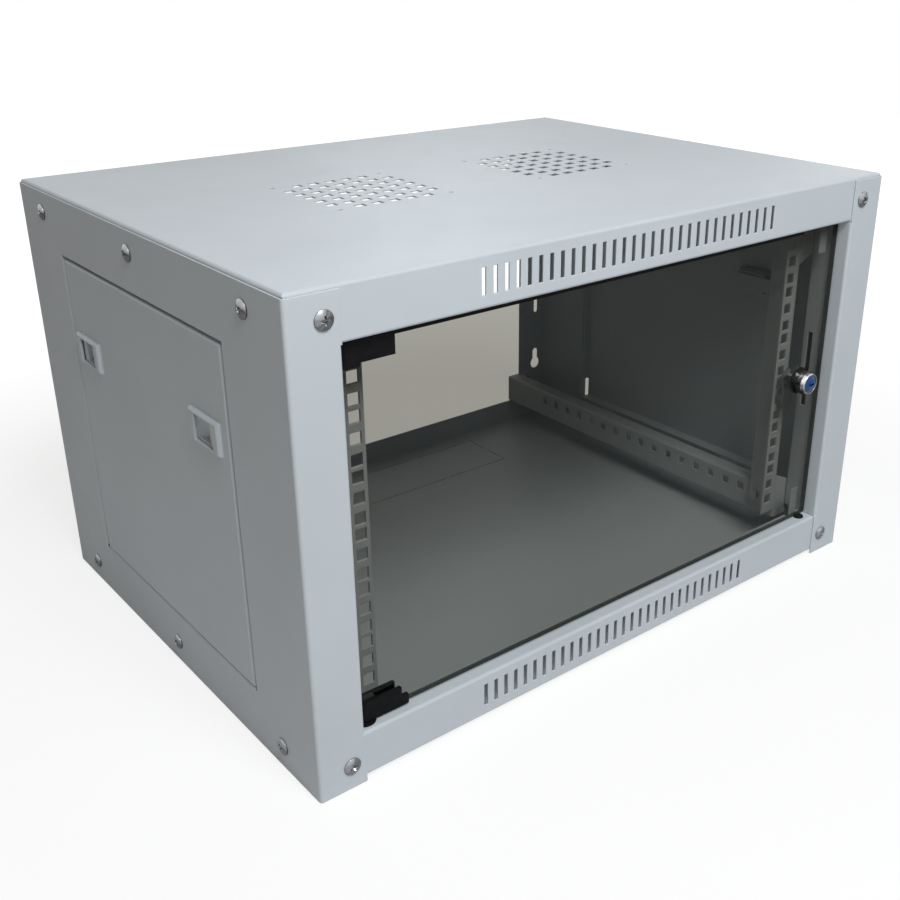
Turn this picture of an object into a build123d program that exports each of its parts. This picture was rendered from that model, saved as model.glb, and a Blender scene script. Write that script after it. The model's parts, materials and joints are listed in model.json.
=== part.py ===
from build123d import *
import math
import os

# Wall mount network cabinet, six rack units, with a hinged glass door and an open back.
# The frame: X to the right, Y to the back, Z up, millimetres.
# The origin is at floor level under the middle of the cabinet, and the door faces -Y.

# Overall size
width = 600.0
depth = 450.0
height = 370.0

# Sheet metal
frame_sheet = 1.2
cover_sheet = 1.2
panel_sheet = 1.0
rack_rail_sheet = 2.0
depth_rail_sheet = 1.5
bend_radius = 2.5
corner_cut = 1.0
seam = 0.2
overrun = 1.0
near = 0.01

# Side frames: front post, rear flange and feet
post_width = 39.0
post_return = 38.0
post_lip = 24.0
rear_flange = 38.0
foot_height = 3.5

# Side window and its lips
window_from_front = 86.0
window_from_rear = 83.0
window_bottom = 49.0
window_from_top = 51.0
window_lip = 10.0
corner_relief = 3.0

# Covers
top_fascia = 38.0
bottom_fascia = 37.5
side_skirt = 34.0
top_rear_skirt = 33.0
bottom_rear_skirt = 25.5
door_flange = 22.0

# Ventilation slots in both fascias
vent_count = 31
vent_pitch = 10.0
vent_width = 3.8
vent_height = 19.3
vent_from_cover = 19.0

# Fan grilles in the top
grille_side_count = 7
grille_pitch = 16.0
grille_hole = 9.0
grille_from_middle = 100.0
fan_bolt_pitch = 105.0
fan_bolt_hole = 4.5

# Cable entry knock-out in the floor
entry_width = 328.0
entry_depth = 67.0
entry_from_back = 25.0
entry_slit = 1.2
entry_bridge = 7.0

# Casing screws
screw_head = 13.5
screw_head_rise = 3.2
screw_head_rim = 1.1
screw_shank = 6.0
shank_sides = 8
screw_length = 11.0
screw_hole = 6.6
front_screw_from_side = 27.0
top_screw_drop = 20.0
bottom_screw_rise = 19.5
side_screw_from_end = 50.0

# Wall fixing keyholes and lacing slots in the rear flanges
keyhole_from_side = 12.0
keyhole_from_end = 70.0
keyhole_round = 14.0
keyhole_slot = 8.0
keyhole_rise = 15.0
lacing_slot_height = 150.0
lacing_slot_length = 28.0
lacing_slot_width = 6.0

# Rack rails, nineteen inch pattern: 450 clear between the rails, 465.1 between the columns of holes
rack_step = 44.45
rack_headroom = 100.0
rack_holes_per_unit = 3
rack_first_hole = 6.35
rack_hole_pitch = 15.875
rack_rail_from_side = 75.0
rack_hole_inset = 7.55
rack_drop = 2.5
rack_hole = 9.5
rack_rail_face = 20.0
rack_rail_leg = 30.0
rack_rail_bolt_setback = 23.6
rack_rail_margin = 9.2
rail_inner_bend = 1.0

# Depth rails
depth_rail_drop = 18.65
depth_rail_face = 30.5
depth_rail_flange = 16.0
depth_rail_tab_cover = 16.0
depth_rail_tab_rise = 15.0
depth_rail_hole = 8.0
depth_rail_pitch = 20.0
depth_rail_first_hole = 22.6
depth_rail_last_margin = 58.8
depth_rail_hole_line = 18.9

# Fasteners of the rails
bolt_shank = 6.0
bolt_clearance = 0.3
bolt_head_flats = 10.0
bolt_head_rise = 4.0
bolt_end = 2.0
nut_flats = 10.0
nut_height = 5.0
thread_clearance = 0.05
stud_from_post = 8.0
stud_above_rail = 22.5

# Door glass
glass_thickness = 5.0
glass_setback = 12.0
glass_side_gap = 2.0
glass_bottom_gap = 2.0
glass_top_gap = 2.5
glass_corner = 2.0

# Door hinges
pivot_from_post = 8.5
pin_diameter = 6.0
pin_clearance = 0.05
pin_grip = 12.0
pin_end = 2.0
pin_edge = 0.6
hinge_thickness = 12.0
hinge_reach = 35.5
hinge_height = 16.4
hinge_solid_end = 8.5
hinge_step_length = 6.0
hinge_step_drop = 8.0
hinge_lug = 2.5
hinge_edge = 0.4
hinge_gap = 0.3
gasket_sheet = 0.5
gasket_inset = 1.5
clamp_screw_shank = 4.0
clamp_screw_head = 7.0
clamp_screw_rise = 2.0
clamp_screw_offsets = (15.0, 24.0)
bush_disc = 18.0
bush_disc_rise = 1.3
bush_spigot = 10.0
bush_spigot_depth = 3.0
bush_clearance = 0.2

# Door stops and rubber buffer
stop_from_post = 9.0
stop_width = 9.5
stop_rise = 29.0
stop_gap = 0.3
stop_relief = 1.2
buffer_diameter = 10.0
buffer_rise = 1.5
buffer_edge = 0.5
buffer_from_post = 12.0
buffer_setback = 11.0

# Door lock
lock_from_post = 27.0
lock_ring = 22.0
lock_ring_front = 20.0
lock_ring_proud = 8.0
lock_ring_lip = 0.7
lock_ring_flare = 3.5
lock_barrel = 18.0
lock_barrel_length = 15.5
lock_hole_clearance = 0.3
lock_core = 12.0
lock_cap = 16.0
lock_cap_clearance = 0.3
lock_cap_side = 2.8
lock_cap_recess = 0.3
lock_cap_dome = 2.2
lock_fit = 0.05
keyway_width = 1.8
keyway_length = 8.0
lock_nut_flats = 23.0
lock_nut_height = 5.0
lock_washer = 25.0
lock_washer_sheet = 1.0
cam_sheet = 2.5
cam_hub = 18.0
cam_width = 14.0
cam_reach = 31.0
cam_square = 8.0
cam_gap = 0.3
cam_screw_head = 10.0
cam_screw_rise = 2.5
cam_screw_shank = 5.0
cam_screw_depth = 7.0
cam_screw_end_gap = 1.0
keeper_width = 5.0
keeper_below = 35.0
keeper_above = 38.0

# Removable side panels
panel_gap = 2.0
panel_seat = 0.3
panel_flange = 8.0
panel_bottom_flange = 12.0
panel_bend = 2.2
panel_notch_width = 3.0
panel_notch_height = 22.0
hook_width = 20.0
hook_drop = 5.0
hook_from_end = 45.0
hook_gap = 0.5

# Panel latches
latch_from_panel_end = 33.0
latch_drop = 73.5
bezel_length = 45.0
bezel_height = 25.0
bezel_proud = 3.5
bezel_bevel = 1.6
bezel_lap = 1.2
latch_body_depth = 8.0
latch_wall = 1.0
latch_window = 28.0
latch_gap = 0.3
latch_travel = 8.0
latch_skin = 2.2
slider_rail = 0.8
slider_rail_depth = 2.0
pocket_length = 20.0
pocket_depth = 8.0
pocket_step = 1.0
pocket_side = 1.5
tongue_width = 14.0
tongue_sheet = 2.5
tongue_edge = 0.8
tongue_gap = 0.5
tongue_retracted = 1.5

# Places worked out from the sizes above
side_face = width / 2
front_face = -depth / 2
rear_face = depth / 2
opening_half = side_face - post_width
opening_bottom = foot_height + bottom_fascia
opening_top = height - top_fascia
cover_half_width = side_face - frame_sheet - seam
cover_half_depth = rear_face - frame_sheet - seam
frame_top = height - bend_radius - seam
post_inner_bottom = opening_bottom + seam
post_inner_top = opening_top - seam
window_front = front_face + window_from_front
window_rear = rear_face - window_from_rear
window_top = height - window_from_top
side_screw_places = (front_face + side_screw_from_end, 0.0, rear_face - side_screw_from_end)
screw_heights = (bottom_screw_rise, height - top_screw_drop)
keyhole_heights = (keyhole_from_end, height - keyhole_from_end)
rack_middle = height / 2 - rack_drop
rack_units = int((height - rack_headroom) / rack_step)
rack_bottom = rack_middle - rack_units * rack_step / 2
rack_rail_inner = side_face - rack_rail_from_side
rack_rail_outer = rack_rail_inner + rack_rail_face
depth_rail_front = front_face + post_return
depth_rail_rear = rear_face - frame_sheet
depth_rail_bottom = rack_bottom - depth_rail_drop
depth_rail_bolt_line = depth_rail_bottom + depth_rail_hole_line
depth_rail_hole_run = depth_rail_rear - depth_rail_last_margin - depth_rail_front - depth_rail_first_hole
depth_rail_holes = int(depth_rail_hole_run / depth_rail_pitch) + 1
first_hole_place = depth_rail_front + depth_rail_first_hole
rack_rail_front = first_hole_place - rack_rail_bolt_setback
stud_place = opening_half + stud_from_post
stud_height = depth_rail_bottom + stud_above_rail
glass_front = front_face + glass_setback
glass_rear = glass_front + glass_thickness
glass_half = opening_half - glass_side_gap
glass_bottom = opening_bottom + glass_bottom_gap
glass_top = opening_top - glass_top_gap
pivot_x = -opening_half + pivot_from_post
pivot_y = glass_front + glass_thickness / 2
bottom_hinge_base = opening_bottom + bush_disc_rise + hinge_gap
top_hinge_base = opening_top - bush_disc_rise - hinge_gap
lock_x = opening_half - lock_from_post
lock_height = height / 2
cam_front = glass_front + lock_barrel_length + cam_gap
panel_front = window_front + panel_gap
panel_rear = window_rear - panel_gap
panel_bottom = window_bottom + panel_seat
panel_top = window_top - panel_gap
latch_places = (panel_front + latch_from_panel_end, panel_rear - latch_from_panel_end)
latch_height = window_top - latch_drop
latch_body_length = bezel_length - 2 * bezel_lap
latch_body_height = bezel_height - 2 * bezel_lap
latch_cavity_length = latch_body_length - 2 * latch_wall
latch_cavity_height = latch_body_height - 2 * latch_wall
slider_width = latch_cavity_height - 2 * latch_gap


def block(x0, x1, y0, y1, z0, z1):
    """Box between two corners."""
    middle = ((x0 + x1) / 2, (y0 + y1) / 2, (z0 + z1) / 2)
    return Pos(*middle) * Box(abs(x1 - x0), abs(y1 - y0), abs(z1 - z0))


def rod(start, direction, diameter, length):
    """Cylinder that starts at a point and runs along a direction."""
    return extrude(Plane(origin=start, z_dir=direction) * Circle(diameter / 2), length)


def mirrored_x(shape):
    """The same piece on the other side of the cabinet."""
    return mirror(shape, about=Plane.YZ)


def mirrored_z(shape):
    """The same piece above the middle of the rack space."""
    return mirror(shape, about=Plane.XY.offset(rack_middle))


def group(shapes):
    """Several separate solids kept in one node."""
    return Compound(children=list(shapes))


def save(shape, name):
    """Write one node."""
    export_step(shape, "parts/" + name + ".step")


def folded_section(points, sheet, radius):
    """Face of a folded sheet: the outside runs through points, the metal lies to the left."""
    count = len(points)
    directions = []
    for i in range(count - 1):
        dx = points[i + 1][0] - points[i][0]
        dy = points[i + 1][1] - points[i][1]
        length = math.hypot(dx, dy)
        directions.append((dx / length, dy / length))
    inside = []
    outer_radii = []
    inner_radii = []
    for i, (x, y) in enumerate(points):
        before = directions[max(i - 1, 0)]
        after = directions[min(i, count - 2)]
        shift_x = -(before[1] + after[1])
        shift_y = before[0] + after[0]
        share = sheet / (1 + before[0] * after[0] + before[1] * after[1])
        inside.append((x + shift_x * share, y + shift_y * share))
        if 0 < i < count - 1:
            turns_left = before[0] * after[1] - before[1] * after[0] > 0
            outer_radii.append(radius if turns_left else radius - sheet)
            inner_radii.append(radius - sheet if turns_left else radius)
    outer = FilletPolyline(*points, radius=outer_radii)
    inner = FilletPolyline(*reversed(inside), radius=list(reversed(inner_radii)))
    ends = Line(points[-1], inside[-1]) + Line(inside[0], points[0])
    return make_face(outer + inner + ends)


def rounded_slab(length, breadth, rise, radius):
    """Slab under Z = 0 with the edges of its upper face rounded."""
    slab = Pos(0, 0, -rise / 2) * Box(length, breadth, rise)
    return fillet(slab.edges().group_by(Axis.Z)[-1], radius)


def tray(length, breadth, rise, sheet, radius):
    """Folded tray with cut corners: its outer face is on top at Z = 0 and its four skirts hang down."""
    outer = rounded_slab(length, breadth, rise, radius)
    inner = rounded_slab(length - 2 * sheet, breadth - 2 * sheet, rise - sheet, radius - sheet)
    result = outer - Pos(0, 0, -sheet) * inner
    relief = radius + seam
    for sx in (-1, 1):
        for sy in (-1, 1):
            corner_x = sx * (length - relief) / 2
            corner_y = sy * (breadth - relief) / 2
            slit = Box(relief, relief, rise - radius)
            result -= Pos(corner_x, corner_y, -radius - (rise - radius) / 2) * slit
            corner = Box(corner_cut * math.sqrt(2), corner_cut * math.sqrt(2), 2 * rise)
            result -= Pos(sx * length / 2, sy * breadth / 2, 0) * Rot(0, 0, 45) * corner
    return result


def dome_arc(radius, base, rise):
    """Arc of a turned profile, from a rim at one level to a crown that is on the axis."""
    ball = (radius**2 + rise**2) / (2 * abs(rise))
    angle = math.asin(radius / ball) / 2
    drop = math.copysign(ball * (1 - math.cos(angle)), rise)
    between = (ball * math.sin(angle), base + rise - drop)
    return ThreePointArc((radius, base), between, (0, base + rise))


def plain_shank(start, direction, diameter, length):
    """Threaded part of a small fastener, kept plain: an eight-sided rod."""
    return extrude(Plane(origin=start, z_dir=direction) * RegularPolygon(diameter / 2, shank_sides), length)


def panhead_screw(place, direction):
    """Domed casing screw: place is on the sheet's outer face, direction points outwards."""
    half = screw_head / 2
    outline = Polyline((0, screw_head_rise), (0, 0), (half, 0), (half, screw_head_rim))
    profile = make_face(outline + dome_arc(half, screw_head_rim, screw_head_rise - screw_head_rim))
    shape = revolve(Plane.XZ * profile, Axis.Z)
    shape += plain_shank((0, 0, 0), (0, 0, -1), screw_shank, screw_length)
    return Plane(origin=place, z_dir=direction) * shape


def drilled(start, direction, diameter, sheet):
    """Round cut through a sheet: start is on its face, direction points into it."""
    above = tuple(place - overrun * step for place, step in zip(start, direction))
    return rod(above, direction, diameter, sheet + 2 * overrun)


def punched(start, direction, diameter, sheet):
    """Cut for a shank through a sheet, out of sight under a head or nut: as many sides as the shank."""
    above = tuple(place - overrun * step for place, step in zip(start, direction))
    opening = RegularPolygon(diameter / 2, shank_sides, major_radius=False)
    return extrude(Plane(origin=above, z_dir=direction) * opening, sheet + 2 * overrun)


def hexagon(flats):
    """Outline of a nut or bolt head."""
    return RegularPolygon(flats / 2, 6, major_radius=False)


def small_nut(place, direction):
    """Nut of a rail's bolt or stud, sitting at a place and rising along a direction."""
    bore = RegularPolygon(bolt_shank / 2 + thread_clearance, shank_sides, major_radius=False)
    return extrude(Plane(origin=place, z_dir=direction) * (hexagon(nut_flats) - bore), nut_height)


def side_frame():
    """Right-hand side frame: post, side web with window, rear flange."""
    post_back = front_face + post_return
    full = [
        (opening_half + post_lip, post_back),
        (opening_half, post_back),
        (opening_half, front_face),
        (side_face, front_face),
        (side_face, rear_face),
        (side_face - rear_flange, rear_face),
    ]
    post_part = folded_section(full, frame_sheet, bend_radius)
    plain_part = folded_section(full[2:], frame_sheet, bend_radius)
    shape = Pos(0, 0, post_inner_bottom) * extrude(post_part, post_inner_top - post_inner_bottom)
    shape += extrude(plain_part, post_inner_bottom)
    shape += Pos(0, 0, post_inner_top) * extrude(plain_part, frame_top - post_inner_top)
    shape = cut_side_window(shape)
    shape -= keeper_slot()
    for z in screw_heights:
        for y in side_screw_places:
            shape -= punched((side_face, y, z), (-1, 0, 0), screw_hole, frame_sheet)
        place = (side_face - front_screw_from_side, front_face, z)
        shape -= punched(place, (0, 1, 0), screw_hole, frame_sheet)
    for z in (stud_height, 2 * rack_middle - stud_height):
        stud_hole = bolt_shank + 2 * thread_clearance
        shape -= punched((stud_place, post_back, z), (0, -1, 0), stud_hole, frame_sheet)
        shape -= punched((stud_place, rear_face, z), (0, -1, 0), stud_hole, frame_sheet)
    shape -= rear_flange_holes()
    return shape


def cut_side_window(shape):
    """Window of the side panel, with lips folded inwards and relief cuts at the corners."""
    inner = side_face - window_lip
    lip_ring = block(
        inner, side_face - frame_sheet / 2, window_front - frame_sheet, window_rear + frame_sheet,
        window_bottom - frame_sheet, window_top + frame_sheet,
    )
    shape += lip_ring
    inside = inner - overrun
    outside = side_face + overrun
    shape -= block(inside, outside, window_front, window_rear, window_bottom, window_top)
    outer_edges = shape.edges().filter_by_position(Axis.X, side_face - near, side_face + near)
    rims = [edge for edge in outer_edges if on_window_rim(edge.center())]
    shape = fillet(rims, panel_bend)
    half = corner_relief / 2
    for y, sy in ((window_front, 1), (window_rear, -1)):
        for z, sz in ((window_bottom, 1), (window_top, -1)):
            y_middle = y + sy * (half - frame_sheet)
            z_middle = z + sz * (half - frame_sheet)
            shape -= block(
                inside, outside, y_middle - half, y_middle + half, z_middle - half, z_middle + half,
            )
    return shape


def on_window_rim(point):
    """Whether a point lies on the edge of the window."""
    on_y = min(abs(point.Y - window_front), abs(point.Y - window_rear)) < near
    on_z = min(abs(point.Z - window_bottom), abs(point.Z - window_top)) < near
    within_y = window_front - near < point.Y < window_rear + near
    within_z = window_bottom - near < point.Z < window_top + near
    return (on_y and within_z) or (on_z and within_y)


def keeper_slot():
    """Slot in the post's return that the lock cam turns into."""
    middle = cam_front + cam_sheet / 2
    return block(
        opening_half - overrun, opening_half + frame_sheet + overrun,
        middle - keeper_width / 2, middle + keeper_width / 2,
        lock_height - keeper_below, lock_height + keeper_above,
    )


def rear_flange_holes():
    """Keyholes for the wall fixings and one lacing slot."""
    x = side_face - keyhole_from_side
    half = keyhole_slot / 2
    inside = rear_face - frame_sheet - overrun
    holes = []
    for z in keyhole_heights:
        upper = z + keyhole_rise
        holes.append(drilled((x, rear_face, z), (0, -1, 0), keyhole_round, frame_sheet))
        holes.append(drilled((x, rear_face, upper), (0, -1, 0), keyhole_slot, frame_sheet))
        holes.append(block(x - half, x + half, inside, rear_face + overrun, z, upper))
    slot = SlotOverall(lacing_slot_length, lacing_slot_width, rotation=90)
    plane = Plane(origin=(x, inside, lacing_slot_height), x_dir=(1, 0, 0), z_dir=(0, 1, 0))
    holes.append(extrude(plane * slot, frame_sheet + 2 * overrun))
    return holes


def cover(fascia, rear_skirt, screw_drop):
    """Cover lying face up at Z = 0, as the top cover does: the fascia hangs down at the front."""
    shape = tray(2 * cover_half_width, 2 * cover_half_depth, fascia, cover_sheet, bend_radius)
    front = -cover_half_depth
    flange_half = opening_half - seam
    fascia_inside = front + cover_sheet
    skirt_inside = cover_half_depth - cover_sheet
    wide = cover_half_width + overrun
    deep = cover_half_depth + overrun
    below = -fascia - overrun
    shape -= block(-wide, wide, fascia_inside + bend_radius, deep, below, -side_skirt)
    shape -= block(-wide, wide, skirt_inside - seam, deep, below, -rear_skirt)
    bend_top = -fascia + 2 * bend_radius
    shape -= block(-flange_half, flange_half, front - overrun, fascia_inside + seam, below, bend_top)
    section = [(front, bend_top), (front, -fascia), (front_face + door_flange, -fascia)]
    flange = folded_section(section, cover_sheet, bend_radius)
    shape += extrude(Plane.YZ * flange, flange_half, both=True)
    shape = add_door_stop(shape, -fascia)
    shape -= fascia_vents()
    for sx in (-1, 1):
        x = sx * (side_face - front_screw_from_side)
        shape -= punched((x, front, -screw_drop), (0, 1, 0), screw_hole, cover_sheet)
        for y in side_screw_places:
            start = (sx * cover_half_width, y, -screw_drop)
            shape -= punched(start, (-sx, 0, 0), screw_hole, cover_sheet)
    pivot_hole = bush_spigot + 2 * bush_clearance
    return shape - drilled((pivot_x, pivot_y, -fascia), (0, 0, 1), pivot_hole, cover_sheet)


def fascia_vents():
    """Row of upright slots through the fascia of a cover lying face up at Z = 0."""
    slot = Box(vent_width, 2 * (cover_sheet + overrun), vent_height)
    first = -(vent_count - 1) / 2 * vent_pitch
    places = [first + i * vent_pitch for i in range(vent_count)]
    return [Pos(x, -cover_half_depth, -vent_from_cover) * slot for x in places]


def add_door_stop(shape, level):
    """Tab lanced out of the door flange, which the closed glass leans on."""
    outer = opening_half - stop_from_post
    inner = outer - stop_width
    stop_front = glass_rear + stop_gap
    shape -= block(
        inner - stop_relief, outer + stop_relief, stop_front, front_face + door_flange + overrun,
        level - overrun, level + cover_sheet + overrun,
    )
    section = [
        (stop_front + cover_sheet, level - stop_rise),
        (stop_front + cover_sheet, level + cover_sheet),
        (stop_front - 2 * bend_radius, level + cover_sheet),
    ]
    tab = extrude(Plane.YZ * folded_section(section, cover_sheet, bend_radius), stop_width)
    return shape + Pos(inner, 0, 0) * tab


def top_cover():
    """Top cover with two fan grilles."""
    shape = cover(top_fascia, top_rear_skirt, top_screw_drop)
    for sx in (-1, 1):
        shape -= [Pos(sx * grille_from_middle, 0, 0) * hole for hole in grille_holes()]
    return Pos(0, 0, height) * shape


def grille_holes():
    """Square holes of one fan grille, and the four holes of the fan's bolts."""
    holes = []
    cut = 2 * (cover_sheet + overrun)
    last = grille_side_count - 1
    for i in range(grille_side_count):
        for j in range(grille_side_count):
            if i in (0, last) and j in (0, last):
                continue
            x = (i - last / 2) * grille_pitch
            y = (j - last / 2) * grille_pitch
            holes.append(Pos(x, y, 0) * Box(grille_hole, grille_hole, cut))
    for sx in (-1, 1):
        for sy in (-1, 1):
            place = (sx * fan_bolt_pitch / 2, sy * fan_bolt_pitch / 2, 0)
            holes.append(Pos(*place) * Cylinder(fan_bolt_hole / 2, cut))
    return holes


def bottom_cover():
    """Bottom cover: the same pressing turned over, with a knock-out instead of the grilles."""
    shape = cover(bottom_fascia, bottom_rear_skirt, bottom_screw_rise - foot_height)
    shape = mirror(shape, about=Plane.XY)
    shape -= knock_out_slits()
    return Pos(0, 0, foot_height) * shape


def knock_out_slits():
    """Slits round the cable entry, with bridges that are broken when it is opened."""
    middle_y = rear_face - entry_from_back - entry_depth / 2
    cut = 2 * (cover_sheet + overrun)
    slits = Rectangle(entry_width, entry_depth)
    slits -= Rectangle(entry_width - 2 * entry_slit, entry_depth - 2 * entry_slit)
    for x in (-entry_width / 4, entry_width / 4):
        slits -= Pos(x, 0) * Rectangle(entry_bridge, entry_depth + overrun)
    slits -= Rectangle(entry_width + overrun, entry_bridge)
    return Pos(0, middle_y, -cut / 2) * extrude(slits, cut)


def rack_rail():
    """Right-hand rack rail: an angle with the square holes of every rack unit."""
    inner = rack_rail_inner
    outer = rack_rail_outer
    section = [
        (inner, rack_rail_front),
        (outer, rack_rail_front),
        (outer, rack_rail_front + rack_rail_leg),
    ]
    bottom = rack_bottom - rack_rail_margin
    length = rack_units * rack_step + 2 * rack_rail_margin
    face = folded_section(section, rack_rail_sheet, rack_rail_sheet + rail_inner_bend)
    shape = Pos(0, 0, bottom) * extrude(face, length)
    hole = Box(rack_hole, 2 * (rack_rail_sheet + overrun), rack_hole)
    holes = []
    for unit in range(rack_units):
        for i in range(rack_holes_per_unit):
            z = rack_bottom + unit * rack_step + rack_first_hole + i * rack_hole_pitch
            holes.append(Pos(inner + rack_hole_inset, rack_rail_front, z) * hole)
    shape -= holes
    bolt_hole = bolt_shank + 2 * bolt_clearance
    for z in (depth_rail_bolt_line, 2 * rack_middle - depth_rail_bolt_line):
        shape -= punched((outer, first_hole_place, z), (-1, 0, 0), bolt_hole, rack_rail_sheet)
    return shape


def depth_rail():
    """Right-hand lower depth rail: an angle with square holes and a tab at each end."""
    inner = rack_rail_outer
    bottom = depth_rail_bottom
    top = bottom + depth_rail_face
    section = [(inner + depth_rail_flange, top), (inner, top), (inner, bottom)]
    length = depth_rail_rear - depth_rail_front
    face = folded_section(section, depth_rail_sheet, depth_rail_sheet + rail_inner_bend)
    plane = Plane(origin=(0, depth_rail_rear, 0), x_dir=(1, 0, 0), z_dir=(0, -1, 0))
    shape = extrude(plane * face, length)
    outer = opening_half + depth_rail_tab_cover
    shoulder = top + depth_rail_tab_rise
    tab = [
        (inner, bottom), (outer, bottom), (outer, top),
        (inner + depth_rail_sheet, shoulder), (inner, shoulder),
    ]
    front_plane = Plane(origin=(0, depth_rail_front, 0), x_dir=(1, 0, 0), z_dir=(0, -1, 0))
    shape += extrude(front_plane * make_face(Polyline(*tab, close=True)), -depth_rail_sheet)
    shape += block(inner, outer, depth_rail_rear - depth_rail_sheet, depth_rail_rear, bottom, top)
    hole = Box(2 * (depth_rail_sheet + overrun), depth_rail_hole, depth_rail_hole)
    holes = []
    for i in range(depth_rail_holes):
        y = first_hole_place + i * depth_rail_pitch
        holes.append(Pos(inner, y, depth_rail_bolt_line) * hole)
    shape -= holes
    stud_hole = bolt_shank + 2 * bolt_clearance
    for y, direction in ((depth_rail_front, 1), (depth_rail_rear, -1)):
        shape -= punched((stud_place, y, stud_height), (0, direction, 0), stud_hole, depth_rail_sheet)
    return shape


def rail_bolt():
    """Bolt of the lower right rack rail, through its leg and the depth rail."""
    head_side = rack_rail_outer - rack_rail_sheet
    grip = rack_rail_sheet + depth_rail_sheet + nut_height + bolt_end
    place = (head_side, first_hole_place, depth_rail_bolt_line)
    head = extrude(Plane(origin=place, z_dir=(-1, 0, 0)) * hexagon(bolt_head_flats), bolt_head_rise)
    return head + plain_shank(place, (1, 0, 0), bolt_shank, grip)


def depth_rail_stud(frame_outside, direction):
    """Press stud, flush in the side frame, that a depth rail's tab is bolted to."""
    grip = frame_sheet + depth_rail_sheet + nut_height + bolt_end
    return plain_shank((stud_place, frame_outside, stud_height), (0, direction, 0), bolt_shank, grip)


def four_corners(shape):
    """A lower right piece at all four corners."""
    lower = [shape, mirrored_x(shape)]
    return lower + [mirrored_z(piece) for piece in lower]


def door_glass():
    """Tinted pane with a notch at each hinge and a hole for the lock."""
    pane = block(-glass_half, glass_half, glass_front, glass_rear, glass_bottom, glass_top)
    pane = fillet(pane.edges().filter_by(Axis.Y), glass_corner)
    notch_edge = pivot_x + hinge_solid_end + gasket_sheet
    lower_notch = bottom_hinge_base + hinge_height + gasket_sheet
    upper_notch = top_hinge_base - hinge_height - hinge_lug - gasket_sheet
    outside = -glass_half - overrun
    front = glass_front - overrun
    rear = glass_rear + overrun
    pane -= block(outside, notch_edge, front, rear, glass_bottom - overrun, lower_notch)
    pane -= block(outside, notch_edge, front, rear, upper_notch, glass_top + overrun)
    hole = lock_barrel + 2 * lock_hole_clearance
    return pane - drilled((lock_x, glass_front, lock_height), (0, 1, 0), hole, glass_thickness)


def hinge_block(base, direction, step, lug):
    """Clamp on a glass corner: base is the level at the bush, direction points to the door's middle."""
    half = hinge_thickness / 2
    far = hinge_reach + overrun
    wide = half + overrun
    shape = extrude(hinge_outline(hinge_reach), hinge_height)
    if step:
        start = hinge_reach - hinge_step_length
        cut_level = hinge_height - hinge_step_drop
        shape -= block(start, far, -wide, wide, cut_level, hinge_height + overrun)
    if lug:
        shape += Pos(0, 0, hinge_height) * extrude(hinge_outline(hinge_solid_end), hinge_lug)
    shape = chamfer(shape.edges().group_by(Axis.Z)[0], hinge_edge)
    slot_half = glass_thickness / 2 + gasket_sheet
    shape -= block(hinge_solid_end, far, -slot_half, slot_half, -overrun, hinge_height + hinge_lug + overrun)
    shape -= Cylinder(pin_diameter / 2 + pin_clearance, 2 * pin_grip)
    for offset in clamp_screw_offsets:
        screw_hole_size = clamp_screw_shank + 2 * thread_clearance
        shape -= punched((offset, half, clamp_line()), (0, -1, 0), screw_hole_size, half - slot_half)
    return placed_hinge(shape, base, direction)


def hinge_outline(reach):
    """Outline of a hinge block seen from above: round at the pin, square at its other end."""
    return Circle(hinge_thickness / 2) + Pos(reach / 2, 0) * Rectangle(reach, hinge_thickness)


def clamp_line():
    """Height of the clamp screws above the hinge base."""
    return (hinge_height - hinge_step_drop) / 2


def placed_hinge(shape, base, direction):
    """Move a hinge piece from its own frame to the pivot."""
    if direction < 0:
        shape = mirror(shape, about=Plane.XY)
    return Pos(pivot_x, pivot_y, base) * shape


def hinge_gaskets(base, direction):
    """Two thin pads between the clamp and the glass."""
    pads = []
    start = hinge_solid_end + gasket_inset
    low = gasket_inset
    high = hinge_height - hinge_step_drop - gasket_inset
    for side in (-1, 1):
        near = side * glass_thickness / 2
        far = side * (glass_thickness / 2 + gasket_sheet)
        pad = block(start, hinge_reach - gasket_inset, near, far, low, high)
        pads.append(placed_hinge(pad, base, direction))
    return pads


def clamp_screws(base, direction):
    """Screws on the rear of a hinge block that press on the glass."""
    screws = []
    half = hinge_thickness / 2
    depth_in = half - glass_thickness / 2 - gasket_sheet
    for offset in clamp_screw_offsets:
        place = (offset, half, clamp_line())
        screw = rod(place, (0, 1, 0), clamp_screw_head, clamp_screw_rise)
        screw += plain_shank(place, (0, -1, 0), clamp_screw_shank, depth_in)
        screws.append(placed_hinge(screw, base, direction))
    return screws


def hinge_pin(base, direction):
    """Pin that is held in a hinge block and turns in the bush."""
    below = hinge_gap + bush_disc_rise + bush_spigot_depth + pin_end
    pin = Pos(0, 0, -below) * extrude(Circle(pin_diameter / 2), below + pin_grip)
    pin = chamfer(pin.edges().group_by(Axis.Z)[0], pin_edge)
    return placed_hinge(pin, base, direction)


def pivot_bush(level, direction):
    """Flanged bush in a cover's door flange: level is the flange's face towards the door."""
    flat = -pivot_from_post + seam
    disc = Circle(bush_disc / 2) - Pos(flat - bush_disc / 2, 0) * Rectangle(bush_disc, bush_disc)
    bore = Circle(pin_diameter / 2 + pin_clearance)
    shape = extrude(disc - bore, bush_disc_rise)
    shape += Pos(0, 0, -bush_spigot_depth) * extrude(Circle(bush_spigot / 2) - bore, bush_spigot_depth)
    if direction < 0:
        shape = mirror(shape, about=Plane.XY)
    return Pos(pivot_x, pivot_y, level) * shape


def door_buffer():
    """Rubber buffer on the bottom door flange."""
    place = (opening_half - buffer_from_post, front_face + buffer_setback, opening_bottom)
    shape = rod(place, (0, 0, 1), buffer_diameter, buffer_rise)
    return chamfer(shape.edges().group_by(Axis.Z)[-1], buffer_edge)


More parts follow.
